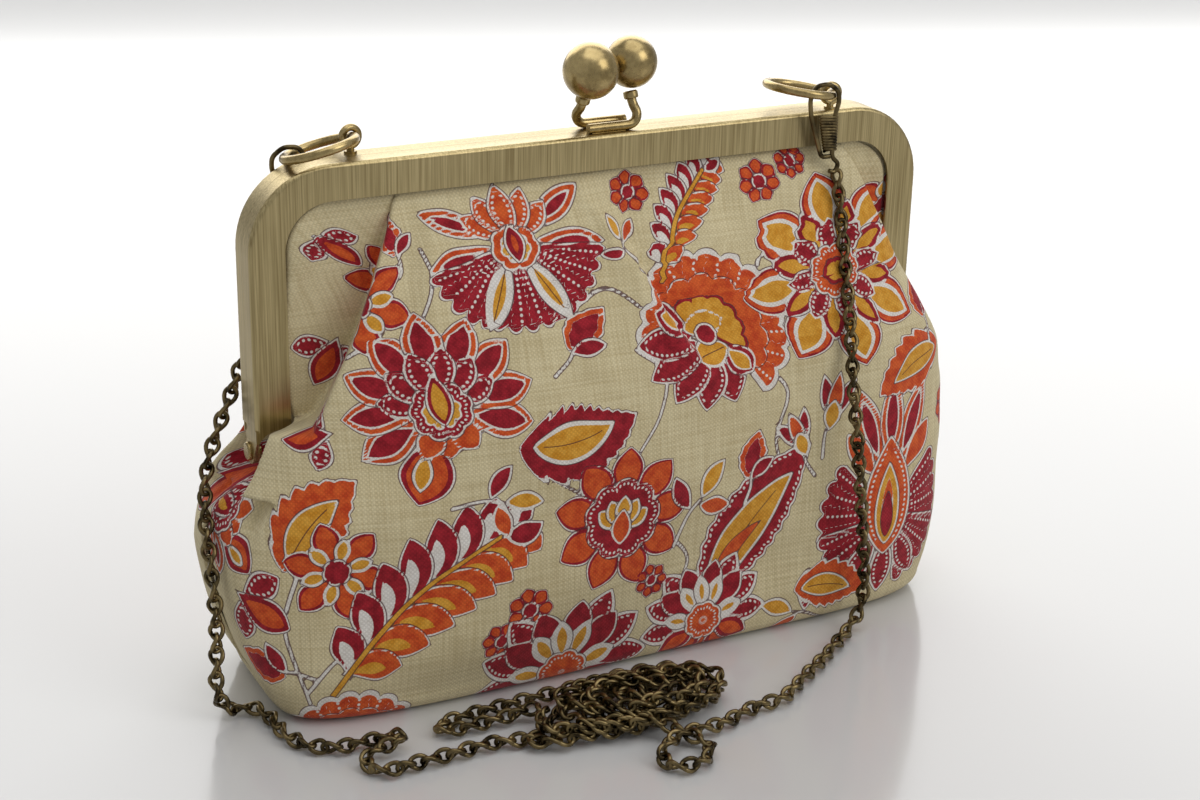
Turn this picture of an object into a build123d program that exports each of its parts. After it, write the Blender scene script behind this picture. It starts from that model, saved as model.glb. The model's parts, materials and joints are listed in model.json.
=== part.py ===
"""Kiss-lock frame bag with a curb chain.

The frame is two pressed U-channel halves that turn on a rivet at the foot of each limb. X runs along
the frame, the front faces -Y, and the origin is the middle of the base, on the surface it stands on.
"""
import math
import os

from build123d import *

os.makedirs("parts", exist_ok=True)

# Frame, in millimetres
FRAME_WIDTH = 200.0
FRAME_TOP = 146.0
LIMB_END = 77.0
HALF_DEPTH = 6.0
HALF_GAP = 0.05
BAND = 9.5
SHEET = 0.8
CORNER = 22.0
EDGE_ROUND = 1.2
HINGE_Z = 70.0
LUG_RADIUS = 3.4
LUG_THICKNESS = 0.8
RIVET_RADIUS = 1.2
RUNNING_FIT = 0.05

# Bag
BASE_HALF_WIDTH = 99.0
BAG_HALF_WIDTH = 110.0
BASE_HALF_DEPTH = 30.0
BAG_HALF_DEPTH = 35.0
BELLY_HEIGHT = 42.0
TRAY_TOP = 64.0
FABRIC = 0.8
FLEECE = 1.6
LINING = 0.5
LAYER_GAP = 0.1
BOARD = 2.0
CORNER_ROUND = 9.0
RIM_ROUND = 12.0
RIM_DEPTH = 3.4
SWELL_MIDDLE = (16.5, 95.0)
SWELL_FOOT = (28.5, 74.0)
SWELL_HALF_WIDTH = 84.0
SCOOP_FOOT = 66.0
TUCK = 5.0
FOLD_THICKNESS = 1.2
CORD_RADIUS = 1.1
CORD_DEPTH = 2.2
CORD_INSET = 4.0

# Hardware
WIRE = 2.6
EYE_WIRE = 1.9
EYE_RADIUS = 2.4
EYE_RISE = 4.2
EYE_X = {1: 71.2, -1: -69.3}  # 1 is the front half's eye, -1 the back half's
EYE_Y = 3.0
POST_RADIUS = 1.0
RING_WIRE = 2.4
RING_RADIUS = 9.4
HOOK_WIRE = 1.3
CHAIN = 4.8

TOP_HALF = FRAME_WIDTH / 2
CHANNEL_LOW = 0.9
CHANNEL_HIGH = HALF_DEPTH - SHEET


def save(part, name):
    """Label a finished piece and write it to its own file."""
    part.label = name
    export_step(part, f"parts/{name}.step")


def side_plane(side, low, high):
    """Plane and depth of a slice between two distances from the middle, front (1) or back (-1)."""
    start = low if side > 0 else -high
    return Plane.XZ.offset(start), high - low


def arch(inset, foot):
    """Closed outline of the frame, moved in by inset and cut off level at foot."""
    height = FRAME_TOP - inset - foot
    with BuildSketch() as outline:
        with Locations((0, foot + height / 2)):
            Rectangle(FRAME_WIDTH - 2 * inset, height)
        fillet(outline.vertices().group_by(Axis.Y)[-1], CORNER - inset)
    return outline.sketch


def arch_band(outer, inner, foot):
    """The strip of the arch between two insets."""
    with BuildSketch() as band:
        add(arch(outer, foot))
        add(arch(inner, foot - 1), mode=Mode.SUBTRACT)
        with Locations((0, foot - 10)):
            Rectangle(2 * FRAME_WIDTH, 20, mode=Mode.SUBTRACT)
    return band.sketch


# --- frame halves -------------------------------------------------------------------------------
def lug_outline(side):
    """Side view of a hinge lug: it narrows from the limb's end to a round eye about the rivet."""
    edge = -side * HALF_DEPTH
    seam = -side * HALF_GAP
    with BuildSketch() as lug:
        with BuildLine():
            Polyline(
                (seam, LIMB_END + 0.5),
                (edge, LIMB_END + 0.5),
                (edge, LIMB_END - 3.0),
                (-side * LUG_RADIUS, HINGE_Z - 0.6),
                (seam, HINGE_Z),
                (seam, LIMB_END + 0.5),
            )
        make_face()
        with Locations((0, HINGE_Z)):
            Circle(LUG_RADIUS)
    return lug.sketch


def frame_half(side):
    """One U-channel half with its lugs; side 1 is the front half and -1 the back half."""
    body_plane, body_depth = side_plane(side, HALF_GAP, HALF_DEPTH)
    slot_plane, slot_depth = side_plane(side, CHANNEL_LOW, CHANNEL_HIGH)
    wall_plane, wall_depth = side_plane(side, CHANNEL_HIGH, HALF_DEPTH)
    with BuildPart() as half:
        with BuildSketch(body_plane):
            add(arch_band(0, BAND, LIMB_END))
        extrude(amount=body_depth)
        outside = half.edges().filter_by_position(Axis.Y, -side * HALF_DEPTH - 0.01, -side * HALF_DEPTH + 0.01)
        rim = [e for e in outside if abs((e @ 0.5).X) > TOP_HALF - 7 or (e @ 0.5).Z > FRAME_TOP - 1]
        fillet([e for e in rim if (e @ 0.5).Z > LIMB_END + 0.1], EDGE_ROUND)
        with BuildSketch(slot_plane):
            add(arch_band(SHEET, BAND + 1, LIMB_END - 1))
        extrude(amount=slot_depth, mode=Mode.SUBTRACT)
        # a hollow-cut horn joins the front wall to the lug
        for end in (-1, 1):
            with BuildSketch(wall_plane):
                with BuildLine():
                    top = Line((end * (TOP_HALF - 5.8), LIMB_END), (end * (TOP_HALF - 0.6), LIMB_END))
                    drop = Line(top @ 1, (end * (TOP_HALF - 0.6), LIMB_END - 3.4))
                    TangentArc(top @ 0, drop @ 1, tangent=(end, 0))
                make_face()
            extrude(amount=wall_depth)
        # the front half's lugs lie outside, the back half's are joggled inwards behind them
        outer = TOP_HALF if side > 0 else TOP_HALF - LUG_THICKNESS - RUNNING_FIT
        for end in (-1, 1):
            with BuildSketch(Plane.YZ.offset(end * outer)):
                add(lug_outline(side))
            extrude(amount=-end * (LUG_THICKNESS - (RUNNING_FIT if side > 0 else 0)))
            if side < 0:
                with BuildSketch(Plane.YZ.offset(end * (TOP_HALF - SHEET))):
                    with Locations(((CHANNEL_LOW + CHANNEL_HIGH) / 2, LIMB_END + 4.5)):
                        Rectangle(CHANNEL_HIGH - CHANNEL_LOW, 9)
                extrude(amount=-end * LUG_THICKNESS)
        with BuildSketch(Plane.YZ.offset(-TOP_HALF - 1)):
            with Locations((0, HINGE_Z)):
                Circle(RIVET_RADIUS + RUNNING_FIT)
        extrude(amount=FRAME_WIDTH + 2, mode=Mode.SUBTRACT)
        # hole for the post of this half's chain eye
        with BuildSketch(Plane.XY.offset(FRAME_TOP - 2)):
            with Locations((EYE_X[side], -side * EYE_Y)):
                Circle(POST_RADIUS + RUNNING_FIT)
        extrude(amount=3, mode=Mode.SUBTRACT)
    return half.part


frame_front = frame_half(1)
save(frame_front, "frame_front")
frame_back = frame_half(-1)
save(frame_back, "frame_back")

# --- hinge rivets -------------------------------------------------------------------------------
INNER_FACE = TOP_HALF - 2 * LUG_THICKNESS - RUNNING_FIT
for name, end in (("hinge_rivet_left", -1), ("hinge_rivet_right", 1)):
    with BuildPart() as rivet:
        with BuildSketch(Plane.YZ.offset(end * (INNER_FACE - 0.9))):
            with Locations((0, HINGE_Z)):
                Circle(RIVET_RADIUS + 0.9)
        extrude(amount=end * (0.9 - RUNNING_FIT))
        with BuildSketch(Plane.YZ.offset(end * (INNER_FACE - 0.9))):
            with Locations((0, HINGE_Z)):
                Circle(RIVET_RADIUS)
        extrude(amount=end * (TOP_HALF + 0.6 - INNER_FACE + 0.9))
        with BuildSketch(Plane.YZ.offset(end * (TOP_HALF + RUNNING_FIT))):
            with Locations((0, HINGE_Z)):
                Circle(RIVET_RADIUS + 1.3)
        extrude(amount=end * 1.0)
        fillet(rivet.edges().filter_by(GeomType.CIRCLE).sort_by(Axis.X)[-1 if end > 0 else 0], 0.6)
    save(rivet.part, name)

# --- kiss-lock clasp ----------------------------------------------------------------------------
# Each half carries a foot along its top, a bent stem, a collar and a ball that leans across the seam.
CLASP = {
    "front": {"side": 1, "ball": (10.2, 1.5, 163.2), "radius": 7.0, "foot_end": -4.6, "bend": 9.3},
    "back": {"side": -1, "ball": (-4.4, -3.5, 163.0), "radius": 7.5, "foot_end": 9.4, "bend": -4.6},
}
COLLAR_HEIGHT = 2.2
COLLAR_RADIUS = 2.0
for name, lock in CLASP.items():
    side = lock["side"]
    way = 1 if lock["bend"] > lock["foot_end"] else -1
    foot_z = FRAME_TOP + WIRE / 2
    ball = Vector(*lock["ball"])
    neck = Vector(lock["bend"] + 0.3 * way, -side * 0.3, FRAME_TOP + 7.6)
    elbow = Vector(lock["bend"] + 0.9 * way, -side * EYE_Y * 0.75, FRAME_TOP + 4.4)
    with BuildPart() as stem:
        with BuildLine() as line:
            Spline(
                (lock["bend"] - 2.4 * way, -side * EYE_Y, foot_z),
                (elbow.X, elbow.Y, elbow.Z),
                (neck.X, neck.Y, neck.Z),
                tangents=[(way, 0, 0), (-0.1 * way, side * 0.3, 1)],
            )
        with BuildSketch(Plane(origin=line.line @ 0, z_dir=line.line % 0)):
            Circle(WIRE / 2)
        sweep()
        with BuildSketch(Plane.YZ.offset(lock["foot_end"])):
            with Locations((-side * EYE_Y, foot_z)):
                Circle(WIRE / 2)
        extrude(amount=lock["bend"] - 2.4 * way - lock["foot_end"])
        with BuildSketch(Plane.XY.offset(FRAME_TOP)):
            with Locations(((lock["bend"] + lock["foot_end"]) / 2 - way, -side * EYE_Y)):
                Rectangle(abs(lock["bend"] - lock["foot_end"]) - 4, 1.2)
        extrude(amount=0.6)
    save(stem.part, f"clasp_stem_{name}")
    reach = line.line % 1
    with BuildPart() as collar:
        with BuildSketch(Plane(origin=neck, z_dir=reach)):
            Circle(COLLAR_RADIUS)
        extrude(amount=COLLAR_HEIGHT)
        fillet(collar.edges().filter_by(GeomType.CIRCLE), 0.6)
    save(collar.part, f"clasp_collar_{name}")
    with BuildPart() as knob:
        with Locations(ball):
            Sphere(lock["radius"])
        split(bisect_by=Plane(origin=neck + reach * COLLAR_HEIGHT, z_dir=reach))
    save(knob.part, f"clasp_ball_{name}")

# --- chain eyes and O-rings ---------------------------------------------------------------------
# A ring hangs in its eye: "towards" points from the eye to its middle, and "across" lies in its plane.
RINGS = {
    "left": {"side": -1, "towards": (-0.955, -0.22, -0.175), "across": (-0.2, 0.95, -0.24)},
    "right": {"side": 1, "towards": (-0.965, 0.2, 0.17), "across": (0.2, 0.975, -0.07)},
}
for name, ring in RINGS.items():
    side = ring["side"]
    eye_centre = Vector(EYE_X[side], -side * EYE_Y, FRAME_TOP + EYE_RISE)
    towards = Vector(*ring["towards"]).normalized()
    across = Vector(*ring["across"])
    normal = towards.cross(across).normalized()
    tangent = normal.cross(towards)
    with BuildPart() as eye:
        with Locations(Plane(origin=eye_centre, z_dir=Vector(tangent.X, tangent.Y, 0))):
            Torus(EYE_RADIUS, EYE_WIRE / 2)
        with BuildSketch(Plane.XY.offset(FRAME_TOP - SHEET - 0.6)):
            with Locations((eye_centre.X, eye_centre.Y)):
                Circle(POST_RADIUS)
        extrude(amount=SHEET + 0.6 + EYE_RISE - EYE_RADIUS)
        with BuildSketch(Plane.XY.offset(FRAME_TOP - SHEET - 0.6)):
            with Locations((eye_centre.X, eye_centre.Y)):
                Circle(POST_RADIUS + 0.6)
        extrude(amount=0.6)
        with BuildSketch(Plane.XY.offset(FRAME_TOP)):
            with Locations((eye_centre.X, eye_centre.Y)):
                Circle(POST_RADIUS + 0.7)
        extrude(amount=0.6)
    save(eye.part, f"chain_eye_{name}")
    with BuildPart() as loop:
        with Locations(Plane(origin=eye_centre + towards * RING_RADIUS, z_dir=normal)):
            Torus(RING_RADIUS, RING_WIRE / 2)
    save(loop.part, f"ring_{name}")


# --- hooks --------------------------------------------------------------------------------------
def arc_radii(points, part_of_run=0.45):
    """The largest radius that the two runs beside each corner allow."""
    radii = []
    for before, corner, after in zip(points, points[1:], points[2:]):
        a, b = Vector(*corner) - Vector(*before), Vector(*after) - Vector(*corner)
        half_turn = math.radians(a.get_angle(b)) / 2
        radii.append(part_of_run * min(a.length, b.length) / math.tan(half_turn))
    return radii


# Wire of a hook in its own plane: distance towards the gate's side, and height.
HOOK_LINE = [
    (0.9, -0.5),
    (3.6, -0.5),
    (7.0, 11.0),
    (7.4, 16.0),
    (5.6, 19.4),
    (1.4, 19.8),
    (-1.6, 17.4),
    (-1.7, 14.4),
    (-0.6, 11.4),
    (0.2, -0.8),
    (-2.0, -2.8),
    (-0.8, -5.2),
    (1.0, -4.6),
]
HOOKS = {
    "left": {"origin": (-87.3, 8.4, 128.4), "gate": (1, 0, 0), "up": (0, -0.082, 1)},
    "right": {"origin": (68.3, -10.2, 134.7), "gate": (-0.997, 0.073, 0), "up": (0.001, 0.067, 1)},
}
WRAP_LENGTH = 10.4
WRAP_DEPTH = 2.4
for name, hook in HOOKS.items():
    origin, gate, up = (Vector(*hook[key]) for key in ("origin", "gate", "up"))
    spots = [origin + gate * u + up * z for u, z in HOOK_LINE]
    with BuildPart() as wire:
        with BuildLine() as line:
            FilletPolyline(*spots, radius=arc_radii([tuple(p) for p in spots], 0.4))
        with BuildSketch(Plane(origin=line.line @ 0, z_dir=line.line % 0)):
            Circle(HOOK_WIRE / 2)
        sweep()
    save(wire.part, f"hook_{name}")
    leg_top, leg_foot = spots[8], spots[9]
    with BuildPart() as wrap:
        for rise, middle, width in ((0.6, 0.9, 4.4), (WRAP_LENGTH + 0.6, 1.5, 6.2)):
            with BuildSketch(Plane(origin=origin + gate * middle + up * rise, x_dir=gate, z_dir=(0, 0, 1))):
                SlotOverall(width, WRAP_DEPTH)
        loft()
        with BuildSketch(Plane(origin=leg_foot, z_dir=leg_top - leg_foot)):
            Circle(HOOK_WIRE / 2 + RUNNING_FIT)
        extrude(amount=(leg_top - leg_foot).length, mode=Mode.SUBTRACT)
    save(wrap.part, f"hook_wrap_{name}")

# --- chain --------------------------------------------------------------------------------------
FLOOR_LINE = CHAIN / 2
LEFT_RUN = [
    (-88.2, 9.4, 121.4),
    (-89.4, 10.4, 111.0),
    (-94.0, 11.2, 100.0),
    (-98.6, 11.0, 88.0),
    (-104.5, 9.0, 76.5),
    (-111.0, 4.0, 65.5),
    (-114.0, -4.0, 54.5),
    (-114.6, -9.0, 43.0),
    (-114.4, -11.4, 30.5),
    (-115.4, -13.0, 19.0),
    (-116.4, -14.0, 9.4),
    (-113.0, -12.6, FLOOR_LINE),
    (-106.4, -12.4, FLOOR_LINE),
    (-103.4, -20.0, FLOOR_LINE),
    (-103.6, -29.4, FLOOR_LINE),
    (-100.4, -37.6, FLOOR_LINE),
    (-94.0, -42.4, FLOOR_LINE),
    (-86.6, -42.4, FLOOR_LINE),
]
MIDDLE_RUN = [
    (-74.0, -57.6, FLOOR_LINE),
    (-66.0, -57.6, FLOOR_LINE),
    (-57.0, -56.4, FLOOR_LINE),
    (-48.6, -58.8, FLOOR_LINE),
    (-40.0, -58.8, FLOOR_LINE),
]
RIGHT_RUN = [
    (18.0, -69.0, FLOOR_LINE),
    (25.0, -69.0, FLOOR_LINE),
    (34.6, -62.0, FLOOR_LINE),
    (46.0, -54.8, FLOOR_LINE),
    (56.0, -47.4, FLOOR_LINE),
    (63.6, -41.6, FLOOR_LINE),
    (69.4, -38.8, 7.0),
    (69.4, -38.6, 18.0),
    (67.2, -39.0, 34.0),
    (65.0, -39.6, 47.0),
    (63.3, -38.6, 63.0),
    (64.2, -33.6, 77.0),
    (66.2, -28.0, 90.0),
    (68.0, -21.0, 104.0),
    (69.2, -15.4, 117.0),
    (69.5, -11.4, 128.2),
]
for name, points in (
    ("chain_left_run", LEFT_RUN),
    ("chain_middle_run", MIDDLE_RUN),
    ("chain_right_run", RIGHT_RUN),
):
    radii = arc_radii(points)
    with BuildPart() as tube:
        with BuildLine() as line:
            FilletPolyline(*points, radius=radii)
        with BuildSketch(Plane(origin=line.line @ 0, z_dir=line.line % 0)):
            Circle(CHAIN / 2)
        sweep()
    length = line.wires()[0].length
    print(name, "length", round(length, 1), "volume ratio",
          round(tube.part.volume / (length * math.pi * CHAIN**2 / 4), 4),
          "radii", [round(r, 1) for r in radii])
    save(tube.part, name)

# The fold and the heap are the outer shape of the chain that is piled up there.
FOLD_OUTLINE = [(-86.6, -39.4), (-76.5, -41.8), (-74.0, -47.0), (-74.0, -61.4), (-86.0, -61.0), (-91.0, -55.0),
                (-90.0, -48.6), (-86.6, -46.2)]
FOLD_HEIGHT = 7.0
HEAP_OUTLINE = [(-70.0, -38.0), (-56.0, -37.4), (-34.0, -38.0), (4.0, -38.4), (14.0, -50.0), (18.0, -62.0),
                (18.0, -73.0), (2.0, -77.0), (-1.6, -86.0), (-12.0, -91.0), (-23.0, -88.0), (-24.0, -79.0),
                (-40.0, -65.0), (-40.0, -53.0), (-58.0, -50.0), (-70.0, -46.0)]
HEAP_HEIGHT = 10.0
for name, outline, height in (
    ("chain_fold", FOLD_OUTLINE, FOLD_HEIGHT),
    ("chain_heap", HEAP_OUTLINE, HEAP_HEIGHT),
):
    with BuildPart() as pile:
        with BuildSketch():
            with BuildLine():
                Polyline(*outline, close=True)
            make_face()
        extrude(amount=height)
        chamfer(pile.faces().sort_by(Axis.Z)[-1].edges(), 1.2)
    save(pile.part, name)


# --- bag ----------------------------------------------------------------------------------------
def tray_block(side, inset, floor, top):
    """Solid lower half of the bag, shrunk by inset at the walls, from floor up to top."""
    levels = (
        (floor, BASE_HALF_WIDTH, BASE_HALF_DEPTH),
        (BELLY_HEIGHT, BAG_HALF_WIDTH, BAG_HALF_DEPTH),
        (top, BAG_HALF_WIDTH - 3, BAG_HALF_DEPTH - 1),
    )
    with BuildPart() as block:
        for z, half_width, half_depth in levels:
            with BuildSketch(Plane.XY.offset(z)):
                RectangleRounded(2 * (half_width - inset), 2 * (half_depth - inset), CORNER_ROUND)
        loft(ruled=True)
        with BuildSketch(Plane.XZ.offset(side * LAYER_GAP / 2)):
            Rectangle(3 * BAG_HALF_WIDTH, 3 * top)
        extrude(amount=-side * 2 * BAG_HALF_DEPTH, mode=Mode.SUBTRACT)
    return block.part


def tray(side, inset, floor, thickness):
    """Lower half of one layer: a wall, half of each end and half of the base, open above."""
    with BuildPart() as layer:
        add(tray_block(side, inset, floor, TRAY_TOP))
        with BuildPart(mode=Mode.PRIVATE) as hollow:
            add(tray_block(side, inset + thickness, floor + thickness, TRAY_TOP + 1))
            with BuildSketch(Plane.XZ.offset(-side * 2)):
                with Locations((0, (TRAY_TOP + floor + thickness) / 2 + 1)):
                    Rectangle(2 * (BASE_HALF_WIDTH - inset - thickness), TRAY_TOP + 2 - floor - thickness)
            extrude(amount=side * 4)
        add(hollow.part, mode=Mode.SUBTRACT)
    return layer.part


def swell(side, inset, foot, rim_depth):
    """Solid block from the frame's inner outline at rim_depth out to the swollen front or back."""
    rim = BAND + 0.3 + inset
    outlines = (
        (rim_depth, TOP_HALF - rim, FRAME_TOP - rim, RIM_ROUND),
        (SWELL_MIDDLE[0] - inset, SWELL_HALF_WIDTH - inset, SWELL_MIDDLE[1] - inset, RIM_ROUND),
        (SWELL_FOOT[0] - inset, SWELL_HALF_WIDTH - inset, SWELL_FOOT[1] - inset, 5.0),
    )
    with BuildPart() as block:
        for depth, half_width, top, corner in outlines:
            with BuildSketch(Plane.XZ.offset(side * depth)):
                with BuildSketch(mode=Mode.PRIVATE) as outline:
                    with Locations((0, (top + foot) / 2)):
                        Rectangle(2 * half_width, top - foot)
                    fillet(outline.vertices().group_by(Axis.Y)[-1], corner)
                add(outline.sketch)
        loft(ruled=True)
    return block.part


def scoop(side, inset, thickness):
    """Upper half of one layer, open below and towards the middle."""
    with BuildPart() as layer:
        add(swell(side, inset, SCOOP_FOOT, RIM_DEPTH))
        add(swell(side, inset + thickness, SCOOP_FOOT - 5, RIM_DEPTH), mode=Mode.SUBTRACT)
    return layer.part


LAYERS = (
    ("panel", 0.0, 0.0, FABRIC),
    ("fleece", FABRIC + LAYER_GAP, FABRIC + LAYER_GAP, FLEECE),
    ("lining", FABRIC + FLEECE + 2 * LAYER_GAP, FABRIC + FLEECE + BOARD + 4 * LAYER_GAP, LINING),
)
for side, where in ((1, "front"), (-1, "back")):
    for layer_name, inset, floor, thickness in LAYERS:
        save(tray(side, inset, floor, thickness), f"{where}_{layer_name}_lower")
        with BuildPart() as upper:
            add(scoop(side, inset, thickness))
            if layer_name == "panel":
                # the edge that is tucked into the frame's channel
                tuck_plane, tuck_depth = side_plane(side, RIM_DEPTH, RIM_DEPTH + 1.0)
                with BuildSketch(tuck_plane):
                    add(arch_band(TUCK, BAND + 0.9, LIMB_END + 1))
                extrude(amount=tuck_depth)
        save(upper.part, f"{where}_{layer_name}_upper")
    with BuildPart() as packing:
        cord_y = -side * CORD_DEPTH
        low, high = LIMB_END + 11, FRAME_TOP - CORD_INSET
        reach, bend = TOP_HALF - CORD_INSET, CORNER - CORD_INSET
        with BuildLine() as run:
            FilletPolyline(
                (-reach, cord_y, low),
                (-reach, cord_y, high),
                (reach, cord_y, high),
                (reach, cord_y, low),
                radius=bend,
            )
        with BuildSketch(Plane(origin=run.line @ 0, z_dir=run.line % 0)):
            Circle(CORD_RADIUS)
        sweep()
    save(packing.part, f"paper_cord_{where}")

for name, end in (("side_fold_left", -1), ("side_fold_right", 1)):
    with BuildPart() as fold:
        with BuildSketch(Plane.XZ.offset(-FOLD_THICKNESS / 2)):
            with BuildLine():
                Polyline(
                    (end * (TOP_HALF - BAND - 0.3), LIMB_END),
                    (end * (TOP_HALF - BAND - 0.3), LIMB_END + 38),
                    (end * (TOP_HALF - BAND - 16), LIMB_END - 8),
                    close=True,
                )
            make_face()
        extrude(amount=FOLD_THICKNESS)
    save(fold.part, name)

with BuildPart() as base_board:
    with BuildSketch(Plane.XY.offset(FABRIC + FLEECE + 2 * LAYER_GAP)):
        RectangleRounded(2 * BASE_HALF_WIDTH - 8, 2 * BASE_HALF_DEPTH - 7, 7)
    extrude(amount=BOARD)
save(base_board.part, "base_board")
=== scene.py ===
"""Looks of the kiss-lock frame bag: printed cloth, curb chain, brass, light and camera."""

import json
import math
import random

import bpy
import numpy as np
from mathutils import Matrix, Vector


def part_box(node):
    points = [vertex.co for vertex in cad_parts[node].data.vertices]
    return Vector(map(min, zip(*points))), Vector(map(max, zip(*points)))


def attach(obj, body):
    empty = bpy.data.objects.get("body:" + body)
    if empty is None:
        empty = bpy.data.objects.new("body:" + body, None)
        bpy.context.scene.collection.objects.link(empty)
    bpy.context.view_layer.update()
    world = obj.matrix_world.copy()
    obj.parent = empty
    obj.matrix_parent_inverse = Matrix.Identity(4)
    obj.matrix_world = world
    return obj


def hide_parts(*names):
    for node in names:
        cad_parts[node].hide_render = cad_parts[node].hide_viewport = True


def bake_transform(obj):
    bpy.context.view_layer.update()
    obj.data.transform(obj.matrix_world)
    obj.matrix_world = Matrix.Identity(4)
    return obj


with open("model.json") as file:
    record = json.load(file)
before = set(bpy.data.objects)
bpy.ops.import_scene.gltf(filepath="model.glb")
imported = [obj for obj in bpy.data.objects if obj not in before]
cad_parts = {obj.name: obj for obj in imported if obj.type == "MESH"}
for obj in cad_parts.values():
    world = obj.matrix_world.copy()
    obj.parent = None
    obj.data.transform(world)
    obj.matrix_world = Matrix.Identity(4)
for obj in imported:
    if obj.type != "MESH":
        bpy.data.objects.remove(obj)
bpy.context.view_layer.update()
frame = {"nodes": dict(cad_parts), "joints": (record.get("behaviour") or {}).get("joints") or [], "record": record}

MM = 0.001
FRAME_HALF, _, FRAME_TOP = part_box("frame_front")[1] / MM
BAND = 9.5
RIM_Z = FRAME_TOP - BAND
HINGE = Vector(next(j for j in frame["joints"] if j["name"] == "mouth_hinge")["pos_m"]) / MM


# --- small helpers
def smooth(*points):
    """A smooth function through (position, value) points."""
    at, value = np.array(sorted(points), float).T
    slope = np.gradient(value, at)

    def curve(t):
        t = np.clip(t, at[0], at[-1])
        i = np.clip(np.searchsorted(at, t) - 1, 0, len(at) - 2)
        run = at[i + 1] - at[i]
        s = (t - at[i]) / run
        return (
            (2 * s**3 - 3 * s**2 + 1) * value[i]
            + (s**3 - 2 * s**2 + s) * run * slope[i]
            + (3 * s**2 - 2 * s**3) * value[i + 1]
            + (s**3 - s**2) * run * slope[i + 1]
        )

    return curve


def ease(t, low, high):
    """Smooth step of t from 0 at low to 1 at high."""
    s = np.clip((t - low) / (high - low), 0, 1)
    return s * s * (3 - 2 * s)


def ripple(x, z, seed, wavelength, count):
    """Even random waviness of about unit height, from a few crossing sines."""
    draw = np.random.default_rng(seed)
    total = np.zeros_like(x)
    for angle, phase, stretch in zip(
        draw.uniform(0, math.pi, count), draw.uniform(0, 2 * math.pi, count), draw.uniform(0.7, 1.5, count)
    ):
        along = x * math.cos(angle) + z * math.sin(angle)
        total += np.sin(along * 2 * math.pi / (wavelength * stretch) + phase)
    return total / math.sqrt(count)


def placed(name, data):
    """A new object in the scene."""
    made = bpy.data.objects.new(name, data)
    bpy.context.scene.collection.objects.link(made)
    return made


def new_mesh(name, points, faces, material):
    """A mesh object from an array of points in millimetres and one of faces."""
    mesh = bpy.data.meshes.new(name)
    mesh.from_pydata((points.reshape(-1, 3) * MM).tolist(), [], faces.tolist())
    mesh.shade_smooth()
    if material:
        mesh.materials.append(material)
    return placed(name, mesh)


def unit(v):
    return v / np.linalg.norm(v, axis=-1, keepdims=True)


def run_of(steps):
    """Distance from the start of a line, from the lengths of its steps."""
    return np.concatenate([[0], np.cumsum(steps)])


# --- node materials
class Nodes:
    """A short way to write a material's node graph."""

    def __init__(self, name):
        self.material = bpy.data.materials.new(name)
        self.material.use_nodes = True
        self.tree = self.material.node_tree
        self.shader = self.tree.nodes["Principled BSDF"]

    def node(self, kind, inputs=None, **settings):
        made = self.tree.nodes.new(kind)
        for key, value in settings.items():
            setattr(made, key, value)
        for key, value in (inputs or {}).items():
            self.feed(made.inputs[key], value)
        return made

    def feed(self, socket, value):
        if isinstance(value, bpy.types.NodeSocket):
            self.tree.links.new(value, socket)
        elif isinstance(value, tuple) and len(value) == 3 and socket.type == "RGBA":
            socket.default_value = (*value, 1.0)
        else:
            socket.default_value = value

    def set(self, **inputs):
        for key, value in inputs.items():
            self.feed(self.shader.inputs[key.replace("_", " ")], value)

    def math(self, operation, a, b=0.0):
        return self.node("ShaderNodeMath", {0: a, 1: b}, operation=operation).outputs[0]

    def add(self, a, b):
        return self.math("ADD", a, b)

    def times(self, a, b):
        return self.math("MULTIPLY", a, b)

    def mix(self, factor, a, b, blend="MIX"):
        return self.node("ShaderNodeMix", {0: factor, 6: a, 7: b}, data_type="RGBA", blend_type=blend).outputs[2]

    def step(self, value, low, high):
        inputs = {"Value": value, "From Min": low, "From Max": high}
        return self.node("ShaderNodeMapRange", inputs, interpolation_type="SMOOTHSTEP").outputs["Result"]

    def two_tone(self, value, low, dark, high, light):
        """Runs from a dark colour at low to a light one at high."""
        made = self.node("ShaderNodeValToRGB", {"Fac": value})
        for stop, place, colour in zip(made.color_ramp.elements, (low, high), (dark, light)):
            stop.position, stop.color = place, (*colour, 1)
        return made.outputs["Color"]

    def noise(self, scale, detail, vector=None, stretch=(1, 1, 1), roughness=0.5):
        vector = vector or self.node("ShaderNodeTexCoord").outputs["Object"]
        mapped = self.node("ShaderNodeMapping", {"Vector": vector, "Scale": stretch}).outputs[0]
        inputs = {"Vector": mapped, "Scale": scale, "Detail": detail, "Roughness": roughness}
        return self.node("ShaderNodeTexNoise", inputs).outputs["Fac"]

    def bump(self, height, distance, strength):
        inputs = {"Height": height, "Distance": distance, "Strength": strength}
        return self.node("ShaderNodeBump", inputs).outputs["Normal"]


def brushed_brass():
    """Antique brass with fine upright brush lines, darker in patches."""
    n = Nodes("brushed_antique_brass")
    lines = n.noise(1.0, 3.0, stretch=(2200, 2200, 30), roughness=0.6)
    fine = n.noise(1.0, 2.0, stretch=(6500, 6500, 120))
    tone = n.add(n.times(lines, 0.8), n.times(n.noise(28.0, 5.0), 0.2))
    n.set(
        Base_Color=n.two_tone(tone, 0.36, (0.33, 0.255, 0.12), 0.64, (0.6, 0.49, 0.26)),
        Metallic=1.0,
        Roughness=n.add(n.times(lines, 0.16), 0.27),
        Anisotropic=0.4,
        Normal=n.bump(n.add(lines, n.times(fine, 0.5)), 0.00004, 0.5),
    )
    return n.material


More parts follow.
